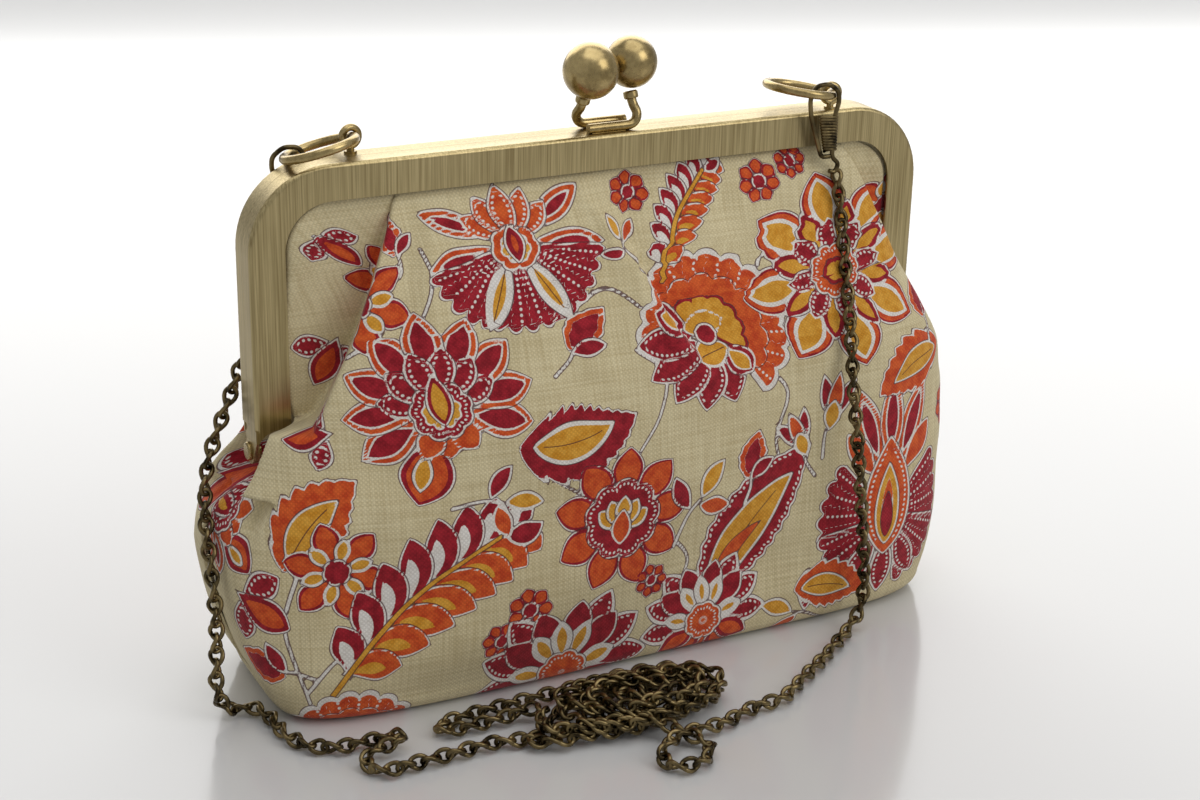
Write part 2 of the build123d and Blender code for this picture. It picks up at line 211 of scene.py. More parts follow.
def polished_brass():
    """Antique brass of the turned and wire parts: smoother, with dark patina left in the tone."""
    n = Nodes("antique_brass")
    fine = n.noise(900.0, 3.0)
    tone = n.add(n.times(n.noise(90.0, 5.0), 0.7), n.times(fine, 0.3))
    n.set(
        Base_Color=n.two_tone(tone, 0.3, (0.23, 0.165, 0.068), 0.7, (0.64, 0.495, 0.235)),
        Metallic=1.0,
        Roughness=n.add(n.times(fine, 0.14), 0.2),
        Normal=n.bump(fine, 0.00002, 0.4),
    )
    return n.material


def chain_brass():
    """Dark antique brass of the chain: black-brown plating rubbed back to brass in patches."""
    n = Nodes("dark_antique_brass")
    patches = n.noise(260.0, 4.0)
    n.set(
        Base_Color=n.two_tone(patches, 0.35, (0.035, 0.026, 0.013), 0.66, (0.26, 0.195, 0.09)),
        Metallic=1.0,
        Roughness=n.add(n.times(patches, 0.2), 0.2),
        Normal=n.bump(n.noise(1500.0, 2.0), 0.00003, 0.35),
    )
    return n.material


# --- cloth shape
# The bag is a stack of level outlines. Heights and distances are in millimetres.
OUTLINE_SAMPLES = 900
COLUMNS = 360
CLOTH_STEP = 0.85
BASE_ROUND = 6.0
BASE_ROWS = 26
SEAM_ALLOWANCE = 0.8

# The channel: how far the cloth runs in and spreads there, its distance from the middle plane, and its corner.
TUCK = 2.6
RIM_SPREAD = 0.02
CHANNEL_Y = 3.9
LIMB_INNER = FRAME_HALF - BAND
CORNER_X = 78
CORNER_Z = 124
CORNER_RADIUS = 11.6

# Heights from which the sides are held to the seam and run in the channel, and how far out they are held.
HELD_HEIGHTS = (50, 54)
CHANNEL_HEIGHTS = (67, 78)
HELD_REACH = (6.6, 13.5)
# Relief comes in over this distance from the held edge.
GRIP = 12

SQUARENESS = smooth((6, 5.5), (14, 4.6), (30, 3.5), (50, 3.0), (80, 2.7), (110, 3.0), (128, 4.0), (RIM_Z, 5.0))
FRONT_DEPTH = smooth(
    (6, 32), (14, 33.5), (26, 34.8), (40, 35.5), (54, 35.3), (66, 34.3), (78, 32.3), (90, 29), (102, 24.5),
    (114, 18.5), (124, 12.5), (131, 8), (RIM_Z, CHANNEL_Y),
)
RIGHT_REACH = smooth(
    (6, 103), (12, 105.5), (23, 108.5), (41, 110.5), (56, 111.5), (66, 111), (77, 108), (88, 102.5), (96, 98),
    (104, 93.5), (112, 90.5), (120, 88.5), (128, 87), (RIM_Z, 84),
)
LEFT_REACH = smooth(
    (6, 102), (12, 105), (22, 108.5), (34, 111), (46, 112), (56, 112), (64, 109), (70, 105.5), (76, 102),
    (82, 99), (90, 95), (100, 91.5), (112, 89.5), (126, 87), (RIM_Z, 84),
)
BACK_LEFT_REACH = smooth(
    (6, 102), (12, 105.5), (22, 109.5), (34, 112.5), (46, 114), (53, 113.5), (59, 111.5), (65, 107), (71, 101),
    (78, 96), (86, 93), (94, 91.5), (104, 90.2), (114, 89), (126, 87), (RIM_Z, 84),
)

# Where the front and back meet beside the hinges, and run into the channels above them.
SEAM = smooth((50, 112), (56, 110), (61, 104), (65, 95), (68, 89.5), (76, 88.8), (82, 90.1), (124, 90.1))

# A fold: where its ridge runs (height, x), how deep the cloth tucks in behind it, and how far under it reaches.
# Sharp or soft: the shares of the run from the ridge to the seam where it has turned in, and starts to come back.
SHARP_FOLD = (0.17, 0.45)
SOFT_FOLD = (0.3, 0.32)
LEFT_RIDGE = smooth(
    (46, -107), (54, -104), (62, -100), (68, -96.5), (76, -91.5), (82, -88), (90, -84), (102, -77.5), (110, -73.5),
    (118, -69.5), (126, -65), (RIM_Z, -60),
)
LEFT_TUCK = smooth(
    (44, 0), (52, 1.5), (60, 6), (68, 10.5), (80, 13), (92, 13), (104, 12.5), (118, 9.5), (128, 5.5), (RIM_Z, 2.5)
)
LEFT_UNDER = smooth((44, 0), (52, 1), (60, 4), (70, 7), (84, 9), (98, 9.5), (112, 8.5), (124, 6.5), (RIM_Z, 4))
# The back's left fold lies this much nearer to the seam than the front's.
BACK_FOLD_OUT = 4.0
RIGHT_RIDGE = smooth((86, 101), (96, 95.5), (104.5, 90), (112, 86), (119, 82.5), (128, 78.5), (RIM_Z, 74.5))
RIGHT_TUCK = smooth((86, 0), (94, 3), (104, 8), (112, 9), (120, 7), (128, 4.5), (RIM_Z, 2))
RIGHT_UNDER = smooth((86, 0), (96, 1.5), (104, 4), (112, 6), (120, 6), (RIM_Z, 3))

# The centre pleat's line; the cloth steps down to the right of it, fading out, and swells a little to the left.
CENTRE_PLEAT = smooth((80, 22), (86, 19), (99, 10), (111, 4.5), (120, 1), (128, -1.6), (RIM_Z, -4))
PLEAT_HEIGHTS = (80, 98)
STEP_DEPTH, STEP_EDGE, STEP_FADE = 4.6, (-0.3, 1.1), 20
SWELL_HEIGHT, SWELL_LEFT, SWELL_WIDTH = 1.0, 3.0, 3.2

# Puckers under the rim: where each starts, how far it leans per millimetre, its reach, depth and width.
PUCKERS = (
    (-55, -0.3, 38, 4.0, 4.5), (-46, -0.22, 24, 2.2, 3.4), (-37, -0.12, 32, 3.2, 4.5), (-24, 0.05, 18, 1.4, 4.0),
    (-12, 0.12, 26, 1.6, 4.5), (14, 0.3, 30, 1.8, 5.0), (30, 0.25, 24, 1.6, 4.5), (46, 0.35, 26, 1.8, 4.5),
    (60, 0.5, 30, 2.4, 4.5),
)


def relief(x, z, seed):
    """How much the cloth dips (positive) or swells at a point of the front or back."""
    below = np.clip(RIM_Z - z, 0, None)
    dip = np.zeros_like(x)
    for start, lean, reach, depth, width in PUCKERS:
        line = start + lean * below
        dip += depth * np.exp(-(((x - line) / width) ** 2)) * np.exp(-below / reach) * (1 - np.exp(-below / 5))
    hold = ease(z, 2, 26) * (1 - ease(z, RIM_Z - 14, RIM_Z))
    dip += hold * (1.5 * ripple(x, z * 0.7, seed, 120, 5) + 0.45 * ripple(x, z, seed + 1, 42, 7))
    dip += 0.12 * hold * ripple(x, z, seed + 2, 13, 9)
    return dip


def tuck_under(x, y, ridge, deep, under, side_sign, pin_y, turn, back):
    """Folds an outline in behind its ridge, on the left (-1) or right (1); turn and back are the fold's shares."""
    run = run_of(np.hypot(np.diff(x), np.diff(y)))
    at_ridge = np.interp(-ridge, -x, run)
    end = run[-1] if side_sign < 0 else 0.0
    if deep < 0.05 or abs(end - at_ridge) < 2:
        return x, y
    share = np.clip((run - at_ridge) / (end - at_ridge), 0, 1)
    fall = ease(share, 0, turn) * (1 - ease(share, back, 1.0))
    return x - side_sign * under * fall, np.maximum(y - deep * fall, pin_y + 0.35 * np.minimum(y - pin_y, 3))


def outline(side, z, left_reach, right_reach):
    """One level outline of half the bag, from its right seam to its left seam, as x and y."""
    t = np.linspace(0, 1, OUTLINE_SAMPLES)
    turn = math.pi * (t - np.sin(2 * math.pi * t) / (2 * math.pi))
    across, out = np.cos(turn), np.sin(turn)
    level = np.clip(z, BASE_ROUND, RIM_Z)
    power = 2 / SQUARENESS(level)
    reach = np.where(across >= 0, right_reach(level), left_reach(level))
    sign = np.sign(across)
    x = sign * reach * np.abs(across) ** power
    pin_y = CHANNEL_Y * ease(level, *CHANNEL_HEIGHTS)
    y = pin_y + (FRONT_DEPTH(level) - pin_y) * np.clip(out, 0, 1) ** power
    pin_x = SEAM(level)
    if level > CORNER_Z:
        pin_x = CORNER_X + math.sqrt(max(CORNER_RADIUS**2 - (level - CORNER_Z) ** 2, 4.0)) + 0.5
    held = ease(level, *HELD_HEIGHTS)
    x += sign * (pin_x - reach) * held * (1 - ease(y, *HELD_REACH))
    left_fold, left_out = (SHARP_FOLD, 0.0) if side > 0 else (SOFT_FOLD, BACK_FOLD_OUT)
    left_at = LEFT_RIDGE(level) - left_out
    x, y = tuck_under(x, y, left_at, LEFT_TUCK(level), LEFT_UNDER(level), -1, pin_y, *left_fold)
    x, y = tuck_under(x, y, RIGHT_RIDGE(level), RIGHT_TUCK(level), RIGHT_UNDER(level), 1, pin_y, *SOFT_FOLD)
    if side > 0:
        limit = pin_x + (reach - pin_x) * ease(y, *HELD_REACH)
        x += held * sign * np.minimum(limit - np.abs(x), 0)
        right_of = x - CENTRE_PLEAT(level)
        fade = ease(level, *PLEAT_HEIGHTS) * (1 - ease(level, RIM_Z - 4, RIM_Z))
        y -= STEP_DEPTH * fade * ease(right_of, *STEP_EDGE) * np.exp(-np.clip(right_of, 0, None) / STEP_FADE)
        y += SWELL_HEIGHT * fade * np.exp(-(((right_of + SWELL_LEFT) / SWELL_WIDTH) ** 2))
    grip = np.clip((y - pin_y) / GRIP, 0, 1)
    y -= relief(x, np.full_like(x, level), 5 if side > 0 else 11) * grip
    return x, y


def cloth_grid(side, left_reach, right_reach):
    """Points of half of the bag as a grid of rows and columns, and its cloth's flat coordinates.

    Across is measured along each row from x = 0, and down along the grid's middle column from the rim.
    """
    rows = [(z, 0.0, 1.0) for z in np.arange(RIM_Z + TUCK, BASE_ROUND, -CLOTH_STEP)]
    for angle in np.arange(0, math.pi / 2, CLOTH_STEP / BASE_ROUND):
        rows.append((BASE_ROUND * (1 - math.sin(angle)), BASE_ROUND * (1 - math.cos(angle)), 1.0))
    rows += [(0.0, BASE_ROUND, 1 - share) for share in np.linspace(0, 1, BASE_ROWS)]
    points, along = [], []
    for z, inset, spread in rows:
        x, y = outline(side, z, left_reach, right_reach)
        if z > RIM_Z - 2:
            x = x * (1 + RIM_SPREAD * ease(z, RIM_Z, RIM_Z + TUCK))
        size_x, size_y = np.abs(x).max(), max(y.max(), 1)
        x = x * (1 - inset / size_x)
        y = y * (1 - inset / size_y) * spread
        run = run_of(np.hypot(np.diff(x), np.diff(y)))
        even = np.linspace(0, run[-1], COLUMNS)
        middle = np.interp(0, -x, run)
        points.append(np.stack([np.interp(even, run, x), -side * np.interp(even, run, y), np.full(COLUMNS, z)], 1))
        along.append(middle - even)
    points = tuck_sides(np.array(points))
    along = np.array(along)
    along = np.concatenate([along[:, :1] + TUCK, along, along[:, -1:] - TUCK], 1)
    centre = points[:, COLUMNS // 2]
    down = run_of(np.linalg.norm(np.diff(centre, axis=0), axis=1))
    rim_row = next(i for i, row in enumerate(rows) if row[0] <= RIM_Z)
    flat_v = np.repeat((down[rim_row] - down)[:, None], COLUMNS + 2, 1)
    return points, along, flat_v


def grid_mesh(name, grid, flip, material=None):
    """A mesh of a grid of points; flip turns its faces over."""
    index = np.arange(grid[..., 0].size).reshape(grid.shape[:2])
    quads = np.stack([index[:-1, :-1], index[:-1, 1:], index[1:, 1:], index[1:, :-1]], -1).reshape(-1, 4)
    return new_mesh(name, grid, quads[:, ::-1] if flip else quads, material)


def tuck_sides(points):
    """Adds a column at each edge: into the frame's channel beside the limbs, or a seam allowance below."""
    first, last = points[:, :1].copy(), points[:, -1:].copy()
    for edge in (first, last):
        height = edge[..., 2]
        reach = -SEAM_ALLOWANCE + (TUCK + SEAM_ALLOWANCE) * ease(height, HINGE.z + 6, HINGE.z + 11)
        edge[..., 0] += np.sign(edge[..., 0]) * reach
    return np.concatenate([first, points, last], 1)


def store(piece, name, values):
    attribute = piece.data.attributes.new(name, "FLOAT", "POINT")
    attribute.data.foreach_set("value", np.asarray(values, np.float32).ravel())


cloth_pieces = {}
for side, where, left in ((1, "front", LEFT_REACH), (-1, "back", BACK_LEFT_REACH)):
    points, flat_u, flat_v = cloth_grid(side, left, RIGHT_REACH)
    piece = grid_mesh(f"cloth_{where}", points, side < 0)
    store(piece, "flat_u", flat_u)
    store(piece, "flat_v", flat_v)
    cloth_pieces[where] = (piece, points, flat_u, flat_v)


# --- the print
# Drawn in the cloth's flat coordinates, in millimetres, as complex numbers: across + 1j * up.
# Each ink is a signed distance, positive inside its shapes; a later ink in the list lies over an earlier one.
INKS = ("white", "crimson", "orange", "gold")
EDGES = ("edge_a", "edge_b", "edge_c")
FAR = 9.0
TURN_CENTRE = -75j


def bow(base, tip, bend, count=22):
    """A curve from base to tip, bowed to its left by a share of its length."""
    middle = (base + tip) / 2 + bend * 1j * (tip - base)
    t = np.linspace(0, 1, count)
    return (1 - t) ** 2 * base + 2 * t * (1 - t) * middle + t**2 * tip


class Print:
    """The print on one sheet of cloth; turned lays it the other way round, as on the back."""

    def __init__(self, across, up, turned):
        self.cloth = (across + 1j * up).ravel()
        self.inks = np.full((len(INKS), self.cloth.size), -FAR)
        self.lines = np.full((len(EDGES), self.cloth.size), -FAR)
        self.lace = np.full(self.cloth.size, FAR)
        self.bead = np.zeros(self.cloth.size)
        self.turned = turned
        self.at(0j)

    def at(self, place, angle=0, scale=1, mirror=False):
        """Starts a motif at a place on the cloth, turned by an angle in degrees."""
        if self.turned:
            place, angle = 2 * TURN_CENTRE - place, angle + 180
        self.origin, self.scale, self.mirror = place, scale, mirror
        self.turn = complex(math.cos(math.radians(angle)), math.sin(math.radians(angle)))
        return self

    def put(self, local):
        local = np.asarray(local)
        return self.origin + self.turn * self.scale * (-np.conj(local) if self.mirror else local)

    def near(self, centre, radius):
        return np.nonzero(np.abs(self.cloth - centre) < radius)[0]

    def paint(self, where, depth, layers, line=None):
        """Lays ink on the points where depth is positive; each layer starts its inset inside the edge."""
        self.bead[where] = np.where(depth > 0, 0.0, self.bead[where])
        if line is not None:
            for field in range(len(self.lines)):
                held = self.lines[field][where]
                self.lines[field][where] = np.maximum(held, depth) if field == line else np.minimum(held, -depth)
        for name, inset in layers:
            own = INKS.index(name)
            self.inks[own][where] = np.maximum(self.inks[own][where], depth - inset)
            for other in range(own + 1, len(INKS)):
                self.inks[other][where] = np.minimum(self.inks[other][where], inset - depth)

    def beads(self, where, aside, count, allowed):
        """A line of white beads where aside is zero, one at each half count."""
        closer = allowed & ((np.abs(aside) < np.abs(self.lace[where])) | (self.bead[where] == 0))
        self.lace[where] = np.where(closer, aside, self.lace[where])
        self.bead[where] = np.where(closer, count, self.bead[where])

    def beside(self, where, spine):
        """Share along a curve, distance from it, and side, at the points."""
        start, step = spine[:-1], np.diff(spine)
        away = self.cloth[where][:, None] - start
        share = np.clip((away * np.conj(step)).real / np.abs(step) ** 2, 0, 1)
        off = away - share * step
        pick = np.abs(off).argmin(1)
        rows = np.arange(len(where))
        side = np.sign((np.conj(step[pick]) * off[rows, pick]).imag)
        return (pick + share[rows, pick]) / len(step), np.abs(off[rows, pick]), side * (-1 if self.mirror else 1)

    def petal(
        self, base, tip, width, layers, bend=0.0, fat=0.5, line=0, teeth=0, tooth=0, lean=0, beads=0, vein=False
    ):
        """A petal or leaf: pointed at both ends, widest at a share of its length, perhaps toothed."""
        spine = self.put(bow(base, tip, bend))
        length = np.abs(np.diff(spine)).sum()
        width = width * self.scale
        where = self.near(spine[len(spine) // 2], length * 0.55 + width + 1)
        share, off, side = self.beside(where, spine)
        half = width / 2 * np.sin(math.pi * share ** (math.log(0.5) / math.log(fat))) ** 0.85
        if teeth:
            wave = share * teeth + lean * off / length * teeth
            half = half * (1 + tooth * (2 * np.abs(2 * (wave % 1) - 1) ** 0.7 - 1))
        depth = (half - off) * 0.92
        self.paint(where, depth, layers, line)
        if beads:
            self.beads(where, depth - beads, 4 + share * length / 1.5, (depth > 0.4) & (share > 0.12) & (share < 0.9))
        if vein:
            inner = (depth > 0.5) & (share > 0.1) & (share < 0.85)
            self.lines[2][where] = np.where(inner, side * off, self.lines[2][where])

    def ring(self, count, inner, outer, width, layers, turn=0.0, centre=0j, **more):
        """A ring of petals round a centre."""
        for i in range(count):
            way = 1j * np.exp(1j * (math.radians(turn) + 2 * math.pi * i / count))
            line = 2 if count % 2 and i == count - 1 else i % 2
            self.petal(centre + inner * way, centre + outer * way, width, layers, line=line, **more)

    def spray(self, angles, inner, outer, width, layers, centre=0j, **more):
        """Petals at given angles from up, outermost first so that the middle ones lie on top."""
        order = sorted(range(len(angles)), key=lambda i: -abs(angles[i]))
        for i in order:
            way = 1j * np.exp(1j * math.radians(angles[i]))
            shrink = 1 - 0.0012 * abs(angles[i])
            self.petal(centre + inner * way, centre + outer * shrink * way, width, layers, line=i % 2, **more)

    def fan(self, centre, facing, spread, inner, outer, layers, scallops=5, dip=0.12, line=0, ribs=0, beads=0):
        """A fan with a scalloped outer edge, facing an angle from up, with beaded ribs."""
        middle = self.put(centre)
        inner, outer = inner * self.scale, outer * self.scale
        where = self.near(middle, outer + 2)
        away = (self.cloth[where] - middle) / self.turn
        if self.mirror:
            away = -np.conj(away)
        reach = np.abs(away)
        angle = np.angle(away / 1j * np.exp(-1j * math.radians(facing)))
        half = math.radians(spread) / 2
        place = (angle + half) / (2 * half)
        edge = outer * (1 - dip + dip * np.sqrt(np.abs(np.sin(math.pi * scallops * place))))
        sides = np.where(half < 3.1, (half - np.abs(angle)) * reach, FAR)
        depth = np.minimum(np.minimum(edge - reach, sides), reach - inner)
        self.paint(where, depth, layers, line)
        if ribs:
            aside = ((place * ribs) % 1 - 0.5) / ribs * 2 * half * reach
            self.beads(where, aside, 4 + reach / 1.6, (depth > 1.3) & (reach > inner + 2))
        if beads:
            self.beads(where, depth - beads, 4 + place * 2 * half * outer / 1.5, depth > 0.3)

    def disc(self, centre, radius, layers, line=2, scallops=0, beads=0):
        self.fan(centre, 0, 360, -1, radius, layers, scallops or 1, 0.16 if scallops else 0.0, line, beads=beads)

    def stroke(self, points, half_width, name="white", line=1):
        """A stem through points: a line of ink with a dark edge."""
        knots = np.array(points)
        t = np.linspace(0, len(knots) - 1, 10 * (len(knots) - 1) + 1)
        real = smooth(*enumerate(knots.real))(t)
        imag = smooth(*enumerate(knots.imag))(t)
        spine = self.put(real + 1j * imag)
        middle = spine[len(spine) // 2]
        where = self.near(middle, np.abs(spine - middle).max() + 2)
        share, off, _ = self.beside(where, spine)
        self.paint(where, half_width * (1 - 0.25 * share) - off, ((name, 0.0),), line)


def edged(*inks):
    """Layers of ink with a white margin, from the name of each and the inset where it starts."""
    return (("white", 0.0), *zip(inks[::2], inks[1::2]))


CRIMSON = edged("crimson", 0.7)
ORANGE = edged("orange", 0.7)
GOLD = edged("gold", 0.8)
BANDED = edged("orange", 0.65, "white", 1.9, "crimson", 2.4)
BANDED_RED = edged("crimson", 0.65, "white", 1.9, "gold", 2.4)
CORED = edged("crimson", 0.6, "orange", 1.9)
LACY = edged("orange", 1.7)


def lotus(p):
    p.spray((-112, -84, -56, -28, 0, 28, 56, 84, 112), 3, 25, 9.5, BANDED, fat=0.62)
    p.spray((-70, -42, -14, 14, 42, 70), 2, 16, 7, CRIMSON, fat=0.6, beads=1.7)
    p.petal(-4 - 3j, -10 - 21j, 13, CORED, fat=0.62, line=1, bend=0.12)
    p.petal(-5.5 - 8j, -9 - 18j, 5, GOLD, fat=0.6, line=2)
    p.spray((-150, 150, 178), 2, 15, 7, ORANGE, fat=0.6)
    p.disc(0, 7.5, edged("crimson", 0.6, "white", 3.2, "gold", 3.7), scallops=9, beads=1.9)
    p.petal(-4j, 9.5j, 6.2, edged("crimson", 0.6, "gold", 1.5), fat=0.45, line=1)


def fan_flower(p):
    p.spray((-98, -60, 60, 98), 3, 25, 7, BANDED, fat=0.6)
    for facing, line in ((128, 0), (-128, 1), (180, 2)):
        p.fan(0, facing, 56, 2, 22.5, CRIMSON, 5, 0.13, line, ribs=4)
    for angle in (-154, 154):
        way = 1j * np.exp(1j * math.radians(angle))
        p.petal(3 * way, 23 * way, 6, edged("gold", 1.9), fat=0.55, vein=True)
    p.spray((-50, -25, 0, 25, 50), 1, 15, 6.5, ORANGE, fat=0.55, beads=1.5)
    p.disc(-1j, 6, edged("orange", 0.7, "white", 2.5, "gold", 3), scallops=7)
    p.petal(-5j, 5j, 5, CORED)


def lace_fan(p):
    p.fan(0, 0, 236, 2, 20, LACY, 13, 0.1, 0, ribs=12)
    p.fan(0, 0, 220, 2, 14.5, edged("orange", 0.5), 9, 0.12, 1)
    p.fan(0, 0, 200, 1, 9.5, (("crimson", 0.0), ("gold", 0.9)), 7, 0.12, 2)
    p.spray((168, 142, 194, 116, 220), 2, 23, 8.5, CRIMSON, fat=0.58, beads=1.7)
    p.spray((90, 246), 3, 19, 7.5, BANDED_RED, fat=0.6)
    p.petal(-5 - 1j, 3 + 5j, 7, GOLD, line=2)
    p.petal(5 - 1j, -2 - 7j, 7, GOLD, vein=True)
    p.disc(0, 2.6, CRIMSON, line=1)


def star_flower(p):
    outer = edged("crimson", 0.6, "orange", 1.2, "white", 2.7, "gold", 4.0)
    p.ring(8, 4, 25, 12.5, outer, fat=0.62)
    p.ring(8, 3, 17.5, 6.4, edged("crimson", 0.7, "gold", 2.0), turn=22.5, fat=0.6)
    p.ring(8, 2, 13.5, 5.8, CRIMSON, fat=0.6, beads=1.5)
    p.disc(0, 7, ORANGE, scallops=10, beads=1.9)
    p.disc(0, 3.6, (("crimson", 0.0), ("gold", 1.2)), scallops=6, line=0)


def dotted_flower(p):
    p.ring(9, 3, 17, 8.2, edged("crimson", 0.5, "orange", 1.2), fat=0.6)
    p.disc(0, 9.5, edged("crimson", 0.6), scallops=9, beads=1.7)
    p.spray((-50, -25, 0, 25, 50), 0, 8.5, 4.4, GOLD, centre=-3j, fat=0.6)
    p.petal(-6j, 2.5j, 5, edged("orange", 0.6), fat=0.45, line=2)


def little_star(p):
    p.ring(6, 1, 12.5, 7, edged("crimson", 0.5, "orange", 1.3), fat=0.6)
    p.ring(6, 1, 8.5, 3.8, GOLD, turn=30, fat=0.6)
    p.disc(0, 3.4, edged("crimson", 0.6), scallops=6)


def daisy(p):
    p.ring(7, 0.5, 6, 4.4, edged("crimson", 0.3, "orange", 0.9), fat=0.66)
    p.disc(0, 2.2, edged("crimson", 0.6), line=2)


def acanthus(p):
    """A long leaf of curling lobes; crimson above its stem and orange below."""
    spine = bow(-35 - 13j, 31 + 12j, 0.2, 10)
    for i in range(len(spine) - 2, 0, -1):
        heading = (spine[i + 1] - spine[i]) / abs(spine[i + 1] - spine[i])
        reach = 16.5 * math.sin(math.pi * (0.16 + 0.082 * i)) + 3
        for lift, name, inner in ((48, "crimson", "white"), (-50, "orange", "gold")):
            way = heading * np.exp(1j * math.radians(lift))
            curl = -0.2 if lift > 0 else 0.2
            p.petal(spine[i] - 2 * way, spine[i] + reach * way, 9.6, (("white", 0.0), (name, 0.6)), curl, 0.6, i % 2)
            p.petal(spine[i] + way, spine[i] + 0.7 * reach * way, 3.6, ((inner, 0.0),), curl, 0.6, None)
    p.petal(spine[-2], spine[-1] + 3 - 2j, 7, CRIMSON, -0.25, 0.5, 1)
    p.stroke(spine[::2], 0.8, "gold", 2)


def paisley(p):
    """A leaf with a saw edge round a white and gold heart."""
    p.petal(-15 - 2j, 15 + 3j, 19, CRIMSON, bend=0.2, fat=0.42, teeth=9, tooth=0.13, lean=-0.8)
    p.petal(-12 - 1j, 9 + 2.2j, 10.5, edged("gold", 1.3), bend=0.2, fat=0.45, line=1, vein=True)


def plume(p):
    """A long smooth leaf, crimson outside and gold inside, with beads between."""
    p.petal(-22 - 3j, 24 + 4j, 20, CRIMSON, bend=0.14, fat=0.45, beads=1.6, teeth=11, tooth=0.05)
    p.petal(-20 - 2.4j, 16 + 3j, 11.5, GOLD, bend=0.14, fat=0.45, line=1, vein=True)
    p.petal(-19 - 2.4j, 2 + 1j, 4.2, (("orange", 0.0),), bend=0.2, line=2)


def pineapple(p):
    """Two scalloped crimson wings round an orange cone."""
    p.spray((-22, 0, 22), 8, 34, 8.5, BANDED)
    p.spray((-40, 40), 6, 25, 7, ORANGE, fat=0.6)
    for facing, line in ((78, 0), (-78, 1), (134, 1), (-134, 0)):
        p.fan(-5j, facing, 66, 2, 23, CRIMSON, 5, 0.12, line, ribs=4)
    p.spray((150, 180, 210), 2, 30, 8, edged("crimson", 0.8), centre=-5j, fat=0.66, beads=1.8)
    p.petal(-17j, 16j, 17, edged("orange", 0.8), fat=0.45, line=2, beads=2.1)
    p.petal(-14j, 9j, 9, edged("gold", 0.7, "orange", 2.4), fat=0.42)
    p.petal(-12j, 1j, 4.4, (("crimson", 0.0),), fat=0.45, line=1)


def tulip(p):
    p.stroke([-11j, -1 - 5j, 0], 0.6)
    p.spray((-26, 26), -2, 12.5, 5, CRIMSON)
    p.petal(-3j, 12j, 5, edged("orange", 0.6), line=2)
    p.petal(-4j, 4.5j, 5.4, GOLD)


def bud(p):
    p.stroke([-9 - 4j, -4 - 3j, 0], 0.6)
    p.petal(-3 - 1j, 10 + 2j, 9, edged("orange", 0.6, "crimson", 2.2), fat=0.42, teeth=5, tooth=0.08)
    p.petal(-3 - 2j, 5 - 6j, 4.4, CRIMSON, line=1, bend=0.1)


def sprig(p):
    p.stroke([-9 - 7j, -4 - 2j, 0], 0.6)
    p.petal(0, 8 + 5j, 4.6, GOLD, bend=0.1)
    p.petal(-1 - 1j, 6 - 5j, 4.6, ORANGE, line=1, bend=-0.1)
    p.petal(-3 - 1j, -4 + 8j, 4.4, CRIMSON, bend=0.1)


def trefoil(p):
    p.spray((-62, 62), 0, 11, 6.5, CRIMSON, fat=0.6, beads=1.7)
    p.petal(-2j, 12j, 7.5, CORED, fat=0.6, line=2)


def bottom_flower(p):
    p.spray((-90, -62, -34, 34, 62, 90), 3, 24, 9, edged("crimson", 1.1), fat=0.62, beads=2.0)
    p.spray((-48, -16, 16, 48), 3, 20, 8, CRIMSON, fat=0.62)
    p.spray((-76, -28, 0, 28, 76), 2, 15, 5.6, edged("gold", 1.7), fat=0.6)
    p.spray((-120, 120, 150, -150, 180), 2, 20, 9, CORED, fat=0.6)
    p.disc(0, 6.5, ORANGE, scallops=8, beads=2.0)


def gold_leaf(p):
    p.petal(-11 - 2j, 12 + 2j, 14, ORANGE, bend=0.16, fat=0.45, teeth=7, tooth=0.12, lean=-0.7)
    p.petal(-9 - 1.4j, 7 + 1.6j, 7, edged("gold", 0.6), bend=0.16, fat=0.45, line=1, vein=True)


# Where each motif sits on the sheet: across from the middle, up from the rim, angle, scale, and whether it is mirrored.
LAYOUT = (
    (fan_flower, -32, -17, 4, 1.16), (little_star, -77, -30, 10, 1.25), (trefoil, -90, -10, 200, 1.05),
    (bud, -66, -14, 75, 1), (lotus, -58, -62, 8, 1.16), (paisley, -21, -72, 196, 1.16, True),
    (bud, -19, -46, 30, 1.25), (lace_fan, 24, -52, -28, 1.3), (acanthus, 24, -16, 40, 0.56),
    (star_flower, 69, -39, 8, 1.28), (daisy, 46, -8, 0, 1.15), (daisy, 57, -3, 20, 0.9),
    (gold_leaf, -92, -92, 40, 1.35), (little_star, -88, -104, 15, 1.15), (lotus, -124, -92, 70, 0.8),
    (trefoil, -114, -112, -120, 1.3), (acanthus, -61, -117, 18, 1), (bud, -106, -133, 150, 1.2),
    (dotted_flower, -8, -101, -6, 1.25), (plume, 37, -114, 44, 1.18), (bottom_flower, 20, -139, 4, 0.95),
    (daisy, -36, -122, 10, 1.15), (daisy, -44, -130, 30, 1), (bottom_flower, -24, -146, 6, 1.22),
    (pineapple, 82, -112, -4, 1.1), (tulip, 61, -84, -14, 1.15), (tulip, 51, -91, 24, 1),
    (bud, 33, -94, 60, 1.1), (gold_leaf, 93, -76, 30, 1.3, True), (sprig, 17, -100, 20, 1.35),
    (trefoil, -88, -67, 100, 1), (sprig, -43, -90, -40, 1.25), (trefoil, 126, -62, 30, 1.5),
    (bud, 100, -58, 70, 1.1), (lace_fan, -84, -158, 5, 1), (sprig, 50, -143, 10, 1.3, True),
    (daisy, 6, -7, 0, 1.1), (sprig, 0, -20, 80, 1), (trefoil, -100, -46, 150, 1.2),
    (little_star, 104, -24, 0, 1.2), (daisy, 2, -122, 10, 0.9), (gold_leaf, 62, -138, -20, 1.1),
    (daisy, 112, -92, 0, 1.2), (trefoil, 110, -135, -60, 1.3),
)
